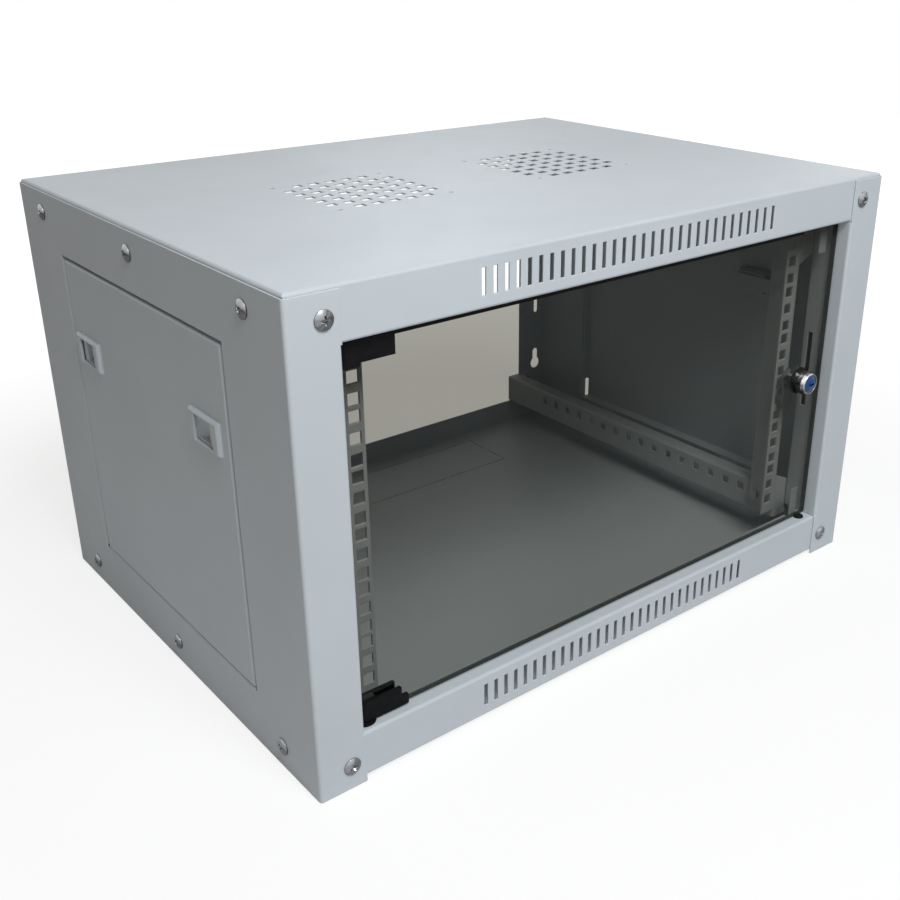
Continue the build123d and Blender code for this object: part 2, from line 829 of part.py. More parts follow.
def lock_profile(outline):
    """Solid turned about the lock's axis: the outline is (radius, distance behind the glass front)."""
    turned = revolve(Plane.XZ * make_face(outline), Axis.Z)
    return Plane(origin=(lock_x, glass_front, lock_height), x_dir=(1, 0, 0), z_dir=(0, 1, 0)) * turned


def lock_housing():
    """Chrome ring and barrel."""
    bore = lock_core / 2 + lock_fit
    seat = lock_cap / 2 + lock_cap_clearance
    front = -lock_ring_proud
    floor = front + lock_cap_recess + lock_cap_side + lock_cap_clearance
    return lock_profile(Polyline(
        (bore, floor), (seat, floor), (seat, front), (lock_ring_front / 2 - lock_ring_lip, front),
        (lock_ring_front / 2, front + lock_ring_lip), (lock_ring / 2, front + lock_ring_flare),
        (lock_ring / 2, 0), (lock_barrel / 2, 0), (lock_barrel / 2, lock_barrel_length),
        (bore, lock_barrel_length), close=True,
    ))


def lock_nut():
    """Nut behind the glass."""
    plane = Plane(origin=(lock_x, glass_rear + lock_washer_sheet, lock_height), z_dir=(0, 1, 0))
    return extrude(plane * (hexagon(lock_nut_flats) - Circle(lock_barrel / 2 + lock_fit)), lock_nut_height)


def lock_washer_ring():
    """Rubber washer between glass and nut."""
    ring = Circle(lock_washer / 2) - Circle(lock_barrel / 2 + lock_fit)
    plane = Plane(origin=(lock_x, glass_rear, lock_height), z_dir=(0, 1, 0))
    return extrude(plane * ring, lock_washer_sheet)


def lock_plug():
    """Plug with its domed blue cap and keyway: its square tail carries the cam."""
    rim = -lock_ring_proud + lock_cap_recess
    crown = rim - lock_cap_dome
    cap_rear = rim + lock_cap_side
    tail = cam_front - glass_front
    bore = cam_screw_shank / 2 + thread_clearance
    bore_start = tail + cam_sheet - cam_screw_depth - cam_screw_end_gap
    outline = Polyline(
        (0, crown), (0, bore_start), (bore, bore_start), (bore, tail), (lock_core / 2, tail),
        (lock_core / 2, cap_rear), (lock_cap / 2, cap_rear), (lock_cap / 2, rim),
    )
    shape = lock_profile(outline + dome_arc(lock_cap / 2, rim, -lock_cap_dome))
    plane = Plane(origin=(lock_x, cam_front, lock_height), x_dir=(1, 0, 0), z_dir=(0, 1, 0))
    shape += extrude(plane * (Rectangle(cam_square, cam_square) - Circle(bore)), cam_sheet)
    keyway = Plane(origin=(lock_x, glass_front + crown, lock_height), x_dir=(1, 0, 0), z_dir=(0, 1, 0))
    return shape - extrude(keyway * Rectangle(keyway_length, keyway_width), cap_rear - crown)


def lock_cam():
    """Cam, hanging down at rest: unlocked."""
    plane = Plane(origin=(lock_x, cam_front, lock_height), x_dir=(1, 0, 0), z_dir=(0, -1, 0))
    arm_length = cam_reach - cam_width / 2
    profile = Circle(cam_hub / 2) + Pos(0, -arm_length / 2) * Rectangle(cam_width, arm_length)
    profile += Pos(0, -arm_length) * Circle(cam_width / 2)
    square = cam_square + 2 * lock_fit
    profile -= Rectangle(square, square)
    return extrude(plane * profile, -cam_sheet)


def cam_screw():
    """Screw that holds the cam on the plug."""
    place = (lock_x, cam_front + cam_sheet, lock_height)
    shape = rod(place, (0, 1, 0), cam_screw_head, cam_screw_rise)
    return shape + plain_shank(place, (0, -1, 0), cam_screw_shank, cam_screw_depth)


def side_panel():
    """Right-hand side panel: a folded tray with two hooks and the cut-outs of its latches."""
    length = panel_rear - panel_front
    breadth = panel_top - panel_bottom
    shape = tray(length, breadth, panel_flange, panel_sheet, panel_bend)
    lower = -breadth / 2
    corner = length / 2 - panel_bend - seam
    shape += block(-corner, corner, lower, lower + panel_sheet, -panel_bottom_flange, -panel_flange)
    hook_outer = -window_lip - hook_gap
    for x in (-length / 2 + hook_from_end, length / 2 - hook_from_end):
        shape += block(
            x - hook_width / 2, x + hook_width / 2, lower - hook_drop, lower + panel_sheet,
            hook_outer - panel_sheet, hook_outer,
        )
    shape -= block(
        length / 2 - panel_notch_width, length / 2 + overrun, lower - overrun, lower + panel_notch_height,
        -panel_flange - overrun, overrun,
    )
    cut_depth = 2 * (panel_sheet + overrun)
    cut = Box(latch_body_length + 2 * latch_gap, latch_body_height + 2 * latch_gap, cut_depth)
    middle_y = (panel_front + panel_rear) / 2
    middle_z = (panel_bottom + panel_top) / 2
    shape -= [Pos(y - middle_y, latch_height - middle_z, 0) * cut for y in latch_places]
    return panel_plane(middle_y, middle_z) * shape


def panel_plane(y, z):
    """Plane on the right side's outer face: local X runs to the back, local Y up, local Z outwards."""
    return Plane(origin=(side_face, y, z), x_dir=(0, 1, 0), z_dir=(1, 0, 0))


def latch_housing():
    """Latch housing in its own frame: bezel outside the panel, sleeve through it."""
    bezel = Pos(0, 0, bezel_proud / 2) * Box(bezel_length, bezel_height, bezel_proud)
    bezel = chamfer(bezel.edges().group_by(Axis.Z)[-1], bezel_bevel)
    sleeve = Box(latch_body_length, latch_body_height, latch_body_depth)
    shape = bezel + Pos(0, 0, -latch_body_depth / 2) * sleeve
    half_length = latch_cavity_length / 2
    half_height = latch_cavity_height / 2
    below = -latch_body_depth - overrun
    ceiling = bezel_proud - latch_skin
    shape -= block(-half_length, half_length, -half_height, half_height, below, ceiling)
    shape -= Box(latch_window, slider_width, 2 * (bezel_proud + overrun))
    rail_top = -latch_body_depth + slider_rail_depth
    for side in (-1, 1):
        wall = side * half_height
        shape += block(
            -half_length, half_length, wall, wall - side * slider_rail, -latch_body_depth, rail_top,
        )
    return shape


def latch_slider():
    """Latch slider, retracted, in the housing's frame: its tongue points to +X."""
    start = -latch_cavity_length / 2 + latch_gap
    end = latch_cavity_length / 2 - latch_gap - latch_travel
    half = slider_width / 2
    neck_half = half - slider_rail
    top = bezel_proud - latch_skin - latch_gap
    groove_top = -latch_body_depth + slider_rail_depth + latch_gap
    base_top = -latch_body_depth - latch_gap
    tongue_top = -window_lip - tongue_gap
    shape = block(start, end, -half, half, groove_top, top)
    shape += block(start, end, -neck_half, neck_half, tongue_top, groove_top)
    shape += block(start, end, -half, half, tongue_top, base_top)
    tip = latch_from_panel_end - tongue_retracted
    shape += block(start, tip, -tongue_width / 2, tongue_width / 2, tongue_top - tongue_sheet, tongue_top)
    tip_edges = shape.edges().filter_by(Axis.Y).sort_by(Axis.X)[-2:]
    shape = chamfer(tip_edges.sort_by(Axis.Z)[-1], tongue_edge)
    pocket_start = (start + end - pocket_length) / 2
    pocket_end = pocket_start + pocket_length
    pocket = [
        (pocket_start, top + overrun), (pocket_start, top - pocket_step),
        (pocket_end, top - pocket_depth), (pocket_end, top + overrun),
    ]
    plane = Plane(origin=(0, 0, 0), x_dir=(1, 0, 0), z_dir=(0, -1, 0))
    return shape - extrude(plane * make_face(Polyline(*pocket, close=True)), half - pocket_side, both=True)


def placed_latch(shape, rear):
    """Place a latch piece on the right panel: the rear one as drawn, the front one turned round."""
    if not rear:
        shape = mirror(shape, about=Plane.YZ)
    return panel_plane(latch_places[1 if rear else 0], latch_height) * shape


def casing_screws():
    """Places and directions of the front screws, then those of the right side."""
    front = []
    for z in screw_heights:
        for sx in (-1, 1):
            place = (sx * (side_face - front_screw_from_side), front_face, z)
            front.append(panhead_screw(place, (0, -1, 0)))
    side = [
        panhead_screw((side_face, y, z), (1, 0, 0))
        for z in screw_heights for y in side_screw_places
    ]
    return front, side


def build():
    """Make every node."""
    os.makedirs("parts", exist_ok=True)
    frame = side_frame()
    save(frame, "right_side_frame")
    save(mirrored_x(frame), "left_side_frame")
    save(top_cover(), "top_cover")
    save(bottom_cover(), "bottom_cover")

    rail = rack_rail()
    save(rail, "right_rack_rail")
    save(mirrored_x(rail), "left_rack_rail")
    runner = depth_rail()
    save(runner, "right_bottom_depth_rail")
    save(mirrored_x(runner), "left_bottom_depth_rail")
    save(mirrored_z(runner), "right_top_depth_rail")
    save(mirrored_x(mirrored_z(runner)), "left_top_depth_rail")
    save(group(four_corners(rail_bolt())), "rack_rail_bolts")
    nut_seat = (rack_rail_outer + depth_rail_sheet, first_hole_place, depth_rail_bolt_line)
    save(group(four_corners(small_nut(nut_seat, (1, 0, 0)))), "rack_rail_nuts")
    post_inside = front_face + post_return - frame_sheet
    front_tab = depth_rail_front + depth_rail_sheet
    rear_tab = depth_rail_rear - depth_rail_sheet
    studs = four_corners(depth_rail_stud(post_inside, 1)) + four_corners(depth_rail_stud(rear_face, -1))
    nuts = four_corners(small_nut((stud_place, front_tab, stud_height), (0, 1, 0)))
    nuts += four_corners(small_nut((stud_place, rear_tab, stud_height), (0, -1, 0)))
    save(group(studs), "depth_rail_studs")
    save(group(nuts), "depth_rail_nuts")

    front, side = casing_screws()
    save(group(front), "front_screws")
    save(group(side), "right_side_screws")
    save(group([mirrored_x(screw) for screw in side]), "left_side_screws")
    save(door_buffer(), "door_buffer")
    save(pivot_bush(opening_bottom, 1), "bottom_pivot_bush")
    save(pivot_bush(opening_top, -1), "top_pivot_bush")

    save(door_glass(), "door_glass")
    save(hinge_block(bottom_hinge_base, 1, True, False), "bottom_hinge_block")
    save(hinge_block(top_hinge_base, -1, False, True), "top_hinge_block")
    save(hinge_pin(bottom_hinge_base, 1), "bottom_hinge_pin")
    save(hinge_pin(top_hinge_base, -1), "top_hinge_pin")
    pads = hinge_gaskets(bottom_hinge_base, 1) + hinge_gaskets(top_hinge_base, -1)
    save(group(pads), "hinge_gaskets")
    screws = clamp_screws(bottom_hinge_base, 1) + clamp_screws(top_hinge_base, -1)
    save(group(screws), "hinge_clamp_screws")
    save(lock_housing(), "lock_housing")
    save(lock_washer_ring(), "lock_washer")
    save(lock_nut(), "lock_nut")
    save(lock_plug(), "lock_plug")
    save(lock_cam(), "lock_cam")
    save(cam_screw(), "lock_cam_screw")

    panel = side_panel()
    save(panel, "right_side_panel")
    save(mirrored_x(panel), "left_side_panel")
    for end, rear in (("front", False), ("rear", True)):
        housing = placed_latch(latch_housing(), rear)
        slider = placed_latch(latch_slider(), rear)
        save(housing, "right_" + end + "_latch_housing")
        save(mirrored_x(housing), "left_" + end + "_latch_housing")
        save(slider, "right_" + end + "_latch_slider")
        save(mirrored_x(slider), "left_" + end + "_latch_slider")


build()
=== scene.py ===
import json
import math

import bpy
from mathutils import Matrix, Vector


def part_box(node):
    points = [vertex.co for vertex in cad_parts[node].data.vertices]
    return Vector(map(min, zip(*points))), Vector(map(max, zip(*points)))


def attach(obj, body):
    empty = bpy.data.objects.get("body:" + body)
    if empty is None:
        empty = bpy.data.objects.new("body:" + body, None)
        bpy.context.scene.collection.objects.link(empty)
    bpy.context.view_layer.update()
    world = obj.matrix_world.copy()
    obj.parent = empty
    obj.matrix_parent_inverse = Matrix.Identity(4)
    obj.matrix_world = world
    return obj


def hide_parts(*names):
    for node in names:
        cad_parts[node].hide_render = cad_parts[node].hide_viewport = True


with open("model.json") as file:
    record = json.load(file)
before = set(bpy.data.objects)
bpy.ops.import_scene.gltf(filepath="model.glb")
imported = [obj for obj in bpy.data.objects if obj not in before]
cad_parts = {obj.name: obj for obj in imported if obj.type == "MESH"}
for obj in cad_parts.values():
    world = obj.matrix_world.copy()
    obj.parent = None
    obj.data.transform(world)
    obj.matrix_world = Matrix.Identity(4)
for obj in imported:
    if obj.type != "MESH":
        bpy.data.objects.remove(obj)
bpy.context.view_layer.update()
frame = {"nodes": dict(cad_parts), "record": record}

# Wall mount network cabinet with a tinted glass door, seen from the front left and from above.
# Metres; X to the right, Y to the back, Z up, and the door faces -Y.

nodes = frame["nodes"]
mm = 0.001

# Camera, worked out from the cabinet's edges in the photograph: turns in degrees
camera_place = (-0.59859, -0.78634, 0.55461)
camera_turn = (66.399, -0.111, -39.591)
camera_lens = 45.13
camera_sensor = 36
camera_shift = (-0.0604, -0.01516)
camera_near = 0.01

# Soft lights: name, place, the point that each faces, side in metres, watts and colour
lights = (
    ("lead_light", (-0.35, -1.6, 1.9), (0, -0.1, 0.1), 0.9, 28, (0.94, 0.98, 1.0)),
    ("high_light", (-0.2, -0.95, 1.5), (0, -0.1, 0.0), 0.6, 8.5, (0.94, 0.95, 0.97)),
    ("sheen_light", (0.69, 0.98, 0.95), (-0.17, -0.2, 0.37), 0.4, 1.1, (0.88, 0.96, 1.0)),
    ("left_light", (-1.6, -0.3, 1.0), (-0.3, 0.0, 0.2), 1.0, 0.8, (1.0, 0.76, 0.58)),
    ("right_light", (1.7, 0.3, 0.6), (0.25, 0.1, 0.2), 1.0, 3, (1, 1, 1)),
)

# World: white to the camera and in reflections, warm grey for the rest
white_colour = (1, 1, 1, 1)
world_colour = (1.0, 0.92, 0.84, 1)
world_strength = 0.120

# Floor: it glows white to the camera, a little less near the cabinet, where the shadow shows
floor_colour = (0.80, 0.80, 0.80, 1)
floor_half = 3
floor_drop = 0.3 * mm
floor_glow = 1.1
shadow_glow_share = 0.72
shadow_near = 0.5
shadow_far = 1.1

# Paint, plated parts and plastics: linear colours
paint_colour = (0.545, 0.590, 0.625, 1)
rail_colour = (0.520, 0.555, 0.570, 1)
nickel_colour = (0.460, 0.465, 0.485, 1)
zinc_colour = (0.600, 0.610, 0.620, 1)
chrome_colour = (0.820, 0.825, 0.830, 1)
black_colour = (0.006, 0.006, 0.007, 1)
rubber_colour = (0.010, 0.010, 0.010, 1)
cap_colour = (0.002, 0.045, 0.170, 1)

# Rounded edges: cosine between the rounded and the flat normal where an edge starts and is full
edge_start = 0.98
edge_full = 0.75
bevel_samples = 6

# Powder coat: a share is how much of a shade or gloss shows, and a shade multiplies the colour
coat_index = 1.5
coat_specular = 0.3
coat_gloss = 0.44
coat_rounding = 0.9 * mm
coat_cloud_size = 0.11
coat_cloud_change = 0.025
coat_cloud_spread = 0.2
# Edges: a painted highlight
coat_edge_highlight_share = 0.85
coat_edge_highlight_shade = 1.6
coat_speck_size = 1.7 * mm
coat_speck_share = 0.10
coat_speck_shade = 0.7
coat_speck_limits = (0.70, 0.76)
coat_handled_size = 0.03
coat_handled_gloss = 0.05
coat_handled_limits = (0.45, 0.72)
coat_peel_size = 1.3 * mm
coat_peel_rise = 0.030 * mm
coat_grain_size = 0.35 * mm
coat_grain_rise = 0.006 * mm

# Plated metal
metal_rounding = 0.35 * mm
metal_cloud_size = 4 * mm
metal_cloud_share = 0.25
metal_scratch_size = 0.5 * mm
metal_scratch_rise = 0.004 * mm
metal_scratch_limits = (0.3, 0.7)

# Painted reflection on plated metal, by how far a face turns upwards and to the left, with a painted dark
# line across it
painted_reflection_limits = (-0.25, 0.75)
painted_dark_line_place = 0.15
painted_dark_line_limits = (0.02, 0.14)
painted_dark_line_share = 0.65
painted_dark_line_shade = 0.5

# Black coating, nylon and rubber
black_specular = 0.06
black_rounding = 0.5 * mm
black_cloud_size = 6 * mm
black_cloud_shade = 1.5
black_edge_share = 0.5
black_edge_shade = 3.5
black_handled_size = 9 * mm
black_handled_gloss = 0.15
black_handled_limits = (0.35, 0.65)

# Tinted glass: a normal's share along the pane's Y tells a face from an edge
glass_tint = (0.610, 0.604, 0.572, 1)
glass_edge_colour = (0.040, 0.050, 0.045, 1)
glass_index = 1.45
glass_mirror = 0.35
glass_smear_size = 0.06
glass_smear_limits = (0.4, 0.75)
glass_smear_gloss = (0.015, 0.07)
glass_turn_limits = (0.9, 0.5)
glass_edge_share = 0.75
glass_edge_gloss = 0.12
glass_edge_coat = 0.4
glass_polish_size = 2.5 * mm
glass_polish_rise = 0.01 * mm
glass_polish_stretch = (1, 8, 1)

# Blue cap of the lock: its depth from crown to rear, and its finish
lock_cap_depth = 5.0 * mm
cap_rounding = 0.4 * mm
cap_seam = 0.05 * mm
cap_cloud_size = 5 * mm
cap_cloud_shade = 1.25
cap_handled_size = 2 * mm
cap_handled_limits = (0.4, 0.7)
cap_gloss = (0.10, 0.22)
cap_specular = 0.2
cap_coat = 0.35
cap_coat_gloss = 0.03
cap_relief_size = 0.8 * mm
cap_relief_rise = 0.004 * mm

# Casing screws: the thread's shares are of its pitch, and turns are in degrees
head_radius = 6.75 * mm
head_rise = 3.2 * mm
head_rim = 1.1 * mm
head_chamfer = 0.2 * mm
dome_steps = 8
shank_radius = 3.0 * mm
shank_length = 11.0 * mm
thread_pitch = 1.0 * mm
thread_depth = 0.45 * mm
thread_root_share = 0.1
thread_crest_share = 0.6
recess_depth = 2.3 * mm
recess_reach = 3.7 * mm
recess_wing = 0.75 * mm
recess_overrun = 0.3 * mm
recess_floor_share = 0.45
turned_sides = 48
smooth_below = 35
screw_first_turn = 17
screw_next_turn = 37

# Thin black channel over the upper edge of the glass, from the hinge to beside the door stop, which shows
# as a dark line under the top fascia
dark_edge_wall = 0.8 * mm
dark_edge_cover = 3.2 * mm
dark_edge_from_hinge = 0.6 * mm
dark_edge_from_end = 50.0 * mm


class Shader:
    """Node tree of one material, built by short calls."""

    def __init__(self, name):
        self.material = bpy.data.materials.new(name)
        self.material.use_nodes = True
        self.tree = self.material.node_tree
        self.tree.nodes.clear()

    def fill(self, made, inputs):
        """Give a node its inputs: each is a value or the output of another node."""
        for key, value in inputs.items():
            if isinstance(value, bpy.types.NodeSocket):
                self.tree.links.new(value, made.inputs[key])
            else:
                made.inputs[key].default_value = value

    def node(self, kind, inputs, **settings):
        """New node with its settings and inputs."""
        made = self.tree.nodes.new("ShaderNode" + kind)
        for key, value in settings.items():
            setattr(made, key, value)
        self.fill(made, inputs)
        return made

    def math(self, operation, a, b=0.0):
        """Result of one operation on one or two values."""
        return self.node("Math", {0: a, 1: b}, operation=operation).outputs[0]

    def place(self, stretch=(1, 1, 1)):
        """Place in the piece's own space, in metres."""
        own = self.node("TexCoord", {}).outputs["Object"]
        return self.node("Mapping", {"Vector": own, "Scale": stretch}).outputs[0]

    def noise(self, size, detail=2.0, stretch=(1, 1, 1)):
        """Noise whose features are about size metres across."""
        inputs = {"Vector": self.place(stretch), "Scale": 1 / size, "Detail": detail}
        return self.node("TexNoise", inputs).outputs[0]

    def ranged(self, value, low, high, to_low=0.0, to_high=1.0):
        """Value brought from one range to another and kept in it."""
        inputs = {0: value, 1: low, 2: high, 3: to_low, 4: to_high}
        return self.node("MapRange", inputs).outputs[0]

    def clouds(self, size, detail=3.0, spread=0.15):
        """Soft clouds from 0 to 1: a smaller spread gives them harder borders."""
        return self.ranged(self.noise(size, detail), 0.5 - spread, 0.5 + spread)

    def mixed(self, share, first, second):
        """Colour between two colours."""
        made = self.node("Mix", {}, data_type="RGBA")
        self.fill(made, {0: share, 6: first, 7: second})
        return made.outputs[2]

    def rounded(self, radius):
        """Normal with the edges rounded."""
        return self.node("Bevel", {"Radius": radius}, samples=bevel_samples).outputs[0]

    def edges(self, normal):
        """1 on edges, 0 elsewhere, from a normal with rounded edges."""
        flat = self.node("NewGeometry", {}).outputs["True Normal"]
        facing = self.node("VectorMath", {0: normal, 1: flat}, operation="DOT_PRODUCT").outputs["Value"]
        return self.ranged(facing, edge_start, edge_full)

    def painted_reflection(self, bright, dark, normal):
        """Painted reflection on metal, by the way it faces: bright to the upper left, dark below and to
        the right.

        Faces turned fully to the left or right are shaded alike.
        """
        axes = self.node("SeparateXYZ", {0: normal}).outputs
        narrowing = self.math("SUBTRACT", 1.0, self.math("ABSOLUTE", axes["X"]))
        lean = self.math("MULTIPLY", self.math("MULTIPLY", axes["X"], narrowing), 2.0)
        across = self.math("SUBTRACT", axes["Z"], lean)
        # Painted reflection: lighter as the face turns up and to the left, and a painted dark line across
        # it
        lit = self.ranged(across, *painted_reflection_limits)
        band = self.math("ABSOLUTE", self.math("SUBTRACT", across, painted_dark_line_place))
        line = self.ranged(band, *painted_dark_line_limits, painted_dark_line_share, 0.0)
        return self.mixed(line, self.mixed(lit, dark, bright), shade_of(dark, painted_dark_line_shade))

    def bump(self, height, rise, normal=None):
        """Normal with a relief of so many metres."""
        inputs = {"Height": height, "Distance": rise, "Strength": 1.0}
        if normal is not None:
            inputs["Normal"] = normal
        return self.node("Bump", inputs).outputs[0]

    def surface(self, **inputs):
        """Principled surface: names are the sockets' with underscores."""
        named = {key.replace("_", " "): value for key, value in inputs.items()}
        return self.node("BsdfPrincipled", named).outputs[0]

    def done(self, surface):
        """The finished material."""
        self.node("OutputMaterial", {"Surface": surface})
        return self.material


def shade_of(colour, factor):
    """A colour made lighter or darker."""
    return tuple(min(part * factor, 1.0) for part in colour[:3]) + (1,)


def powder_coat(name, colour, gloss=coat_gloss):
    """Satin powder coat: fine orange peel, soft edges painted lighter as a highlight, faint clouding and
    handling marks.
    """
    shade = Shader(name)
    soft = shade.rounded(coat_rounding)
    edge = shade.edges(soft)
    tone = shade.clouds(coat_cloud_size, spread=coat_cloud_spread)
    darker = shade_of(colour, 1 - coat_cloud_change)
    lighter = shade_of(colour, 1 + coat_cloud_change)
    base = shade.mixed(tone, darker, lighter)
    # Painted highlight: the rounded edges are drawn lighter
    lighter_edge = shade.math("MULTIPLY", edge, coat_edge_highlight_share)
    base = shade.mixed(lighter_edge, base, shade_of(colour, coat_edge_highlight_shade))
    specks = shade.noise(coat_speck_size, detail=4.0)
    specked = shade.ranged(specks, *coat_speck_limits, 0.0, coat_speck_share)
    base = shade.mixed(specked, base, shade_of(colour, coat_speck_shade))
    marks = shade.noise(coat_handled_size, detail=5.0)
    handled = shade.ranged(marks, *coat_handled_limits, gloss, gloss + coat_handled_gloss)
    peel = shade.bump(shade.noise(coat_peel_size), coat_peel_rise, soft)
    grain = shade.bump(shade.noise(coat_grain_size), coat_grain_rise, peel)
    return shade.done(shade.surface(
        Base_Color=base, Roughness=handled, IOR=coat_index, Specular_IOR_Level=coat_specular, Normal=grain,
    ))


def plated(name, colour, gloss, scratch=0.10, stretch=(1, 1, 14), clouding=0.92, depth=0.55):
    """Plated metal with fine scratches and a painted reflection: depth is the darkest shade of the painted
    reflection, clouding that of its dull spots.
    """
    shade = Shader(name)
    soft = shade.rounded(metal_rounding)
    tone = shade.clouds(metal_cloud_size)
    # Painted reflection, lighter to the upper left and darker below and to the right
    lit = shade.painted_reflection(colour, shade_of(colour, depth), soft)
    dull = shade.mixed(tone, lit, shade_of(colour, clouding * (1 + depth) / 2))
    base = shade.mixed(metal_cloud_share, lit, dull)
    lines = shade.noise(metal_scratch_size, detail=3.0, stretch=stretch)
    rough = shade.ranged(lines, *metal_scratch_limits, gloss, gloss + scratch)
    normal = shade.bump(lines, metal_scratch_rise, soft)
    return shade.done(shade.surface(Base_Color=base, Metallic=1.0, Roughness=rough, Normal=normal))


def black_coat(name, colour, gloss, grain, relief):
    """Black coating, nylon or rubber with a fine grain."""
    shade = Shader(name)
    soft = shade.rounded(black_rounding)
    edge = shade.edges(soft)
    tone = shade.clouds(black_cloud_size)
    base = shade.mixed(tone, colour, shade_of(colour, black_cloud_shade))
    # Edges drawn lighter than the rest
    lighter_edge = shade.math("MULTIPLY", edge, black_edge_share)
    base = shade.mixed(lighter_edge, base, shade_of(colour, black_edge_shade))
    marks = shade.noise(black_handled_size, detail=4.0)
    rough = shade.ranged(marks, *black_handled_limits, gloss, gloss + black_handled_gloss)
    normal = shade.bump(shade.noise(grain, detail=3.0), relief, soft)
    return shade.done(shade.surface(
        Base_Color=base, Roughness=rough, Specular_IOR_Level=black_specular, Normal=normal,
    ))


def tinted_glass(name):
    """Tinted pane: clear grey faces that reflect by angle, and darker polished edges."""
    shade = Shader(name)
    smears = shade.noise(glass_smear_size, detail=4.0)
    smeared = shade.ranged(smears, *glass_smear_limits, *glass_smear_gloss)
    geometry = shade.node("NewGeometry", {})
    shadow = shade.node("LightPath", {}).outputs["Is Shadow Ray"]
    tint = shade.mixed(shadow, glass_tint, white_colour)
    clear = shade.node("BsdfTransparent", {"Color": tint}).outputs[0]
    mirror = shade.node("BsdfGlossy", {"Roughness": smeared}).outputs[0]
    front = shade.math("SUBTRACT", 1.0, geometry.outputs["Backfacing"])
    fresnel = shade.node("Fresnel", {"IOR": glass_index}).outputs[0]
    reflected = shade.math("MULTIPLY", shade.math("MULTIPLY", fresnel, front), glass_mirror)
    face = shade.node("MixShader", {0: reflected, 1: clear, 2: mirror}).outputs[0]
    own = shade.node(
        "VectorTransform", {"Vector": geometry.outputs["True Normal"]},
        vector_type="NORMAL", convert_from="WORLD", convert_to="OBJECT",
    ).outputs[0]
    axes = shade.node("SeparateXYZ", {0: own})
    across = shade.math("ABSOLUTE", axes.outputs["Y"])
    on_edge = shade.ranged(across, *glass_turn_limits, 0.0, glass_edge_share)
    ripples = shade.noise(glass_polish_size, stretch=glass_polish_stretch)
    polish = shade.bump(ripples, glass_polish_rise)
    edge = shade.surface(
        Base_Color=glass_edge_colour, Roughness=glass_edge_gloss, IOR=glass_index,
        Coat_Weight=glass_edge_coat, Normal=polish,
    )
    return shade.done(shade.node("MixShader", {0: on_edge, 1: face, 2: edge}).outputs[0])


def lock_plug_finish(name, cap_rear):
    """Glossy blue cap in front of the bright core."""
    shade = Shader(name)
    soft = shade.rounded(cap_rounding)
    along = shade.node("SeparateXYZ", {0: shade.place()}).outputs["Y"]
    core = shade.ranged(along, cap_rear - cap_seam, cap_rear + cap_seam)
    tone = shade.clouds(cap_cloud_size, detail=2.0)
    blue = shade.mixed(tone, cap_colour, shade_of(cap_colour, cap_cloud_shade))
    base = shade.mixed(core, blue, zinc_colour)
    marks = shade.noise(cap_handled_size, detail=4.0)
    rough = shade.ranged(marks, *cap_handled_limits, *cap_gloss)
    normal = shade.bump(shade.noise(cap_relief_size), cap_relief_rise, soft)
    coat = shade.math("MULTIPLY", shade.math("SUBTRACT", 1.0, core), cap_coat)
    return shade.done(shade.surface(
        Base_Color=base, Metallic=core, Roughness=rough, Specular_IOR_Level=cap_specular,
        Coat_Weight=coat, Coat_Roughness=cap_coat_gloss, Normal=normal,
    ))


def finishes():
    """One material for each finish that the record names."""
    lock_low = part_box("lock_plug")[0]
    hinge_grain = {"gloss": 0.38, "grain": 0.5 * mm, "relief": 0.02 * mm}
    nylon_grain = {"gloss": 0.45, "grain": 0.3 * mm, "relief": 0.01 * mm}
    rubber_grain = {"gloss": 0.65, "grain": 0.4 * mm, "relief": 0.02 * mm}
    polish = {"gloss": 0.05, "scratch": 0.06, "stretch": (1, 1, 3), "clouding": 0.97, "depth": 0.08}
    return {
        "grey_paint": powder_coat("grey_powder_coat", paint_colour),
        "rail_paint": powder_coat("rail_powder_coat", rail_colour, gloss=0.46),
        "zinc_steel": plated("zinc_plating", zinc_colour, gloss=0.32),
        "bright_screws": plated("bright_nickel", nickel_colour, gloss=0.20, depth=0.32),
        "tinted_glass": tinted_glass("tinted_pane"),
        "black_hinge_paint": black_coat("black_hinge_coat", black_colour, **hinge_grain),
        "black_plastic": black_coat("black_nylon", black_colour, **nylon_grain),
        "black_rubber": black_coat("black_rubber", rubber_colour, **rubber_grain),
        "lock_chrome": plated("lock_chrome", chrome_colour, **polish),
        "blue_cap": lock_plug_finish("blue_lock_cap", lock_low.y + lock_cap_depth),
        "latch_plastic": powder_coat("latch_moulding", paint_colour, gloss=0.36),
    }


def dress_frame(materials):
    """Give every CAD node the finish of its slot in the record."""
    for part in frame["record"]["subparts"]:
        mesh = nodes[part["node"]].data
        mesh.materials.clear()
        mesh.materials.append(materials[part["material_slot"]])


def smoothed(mesh):
    """Round faces shade smoothly, and edges sharper than the limit stay sharp."""
    for face in mesh.polygons:
        face.use_smooth = True
    mesh.set_sharp_from_angle(angle=math.radians(smooth_below))
    return mesh


def linked(name, mesh):
    """New object in the scene."""
    made = bpy.data.objects.new(name, mesh)
    bpy.context.scene.collection.objects.link(made)
    return made


def mesh_of(name, vertices, faces):
    """New mesh."""
    mesh = bpy.data.meshes.new(name)
    mesh.from_pydata(vertices, [], faces)
    return mesh


def turned(points, sides):
    """Mesh of a closed solid turned about Z: points are (radius, height), the ends on the axis."""
    vertices = []
    rings = []
    for radius, level in points:
        count = 1 if radius == 0 else sides
        rings.append(range(len(vertices), len(vertices) + count))
        for i in range(count):
            angle = 2 * math.pi * i / sides
            vertices.append((radius * math.cos(angle), radius * math.sin(angle), level))
    faces = []
    for lower, upper in zip(rings, rings[1:]):
        for i in range(sides):
            after = (i + 1) % sides
            if len(lower) == 1:
                faces.append((lower[0], upper[after], upper[i]))
            elif len(upper) == 1:
                faces.append((lower[i], lower[after], upper[0]))
            else:
                faces.append((lower[i], lower[after], upper[after], upper[i]))
    return mesh_of("turned", vertices, faces)


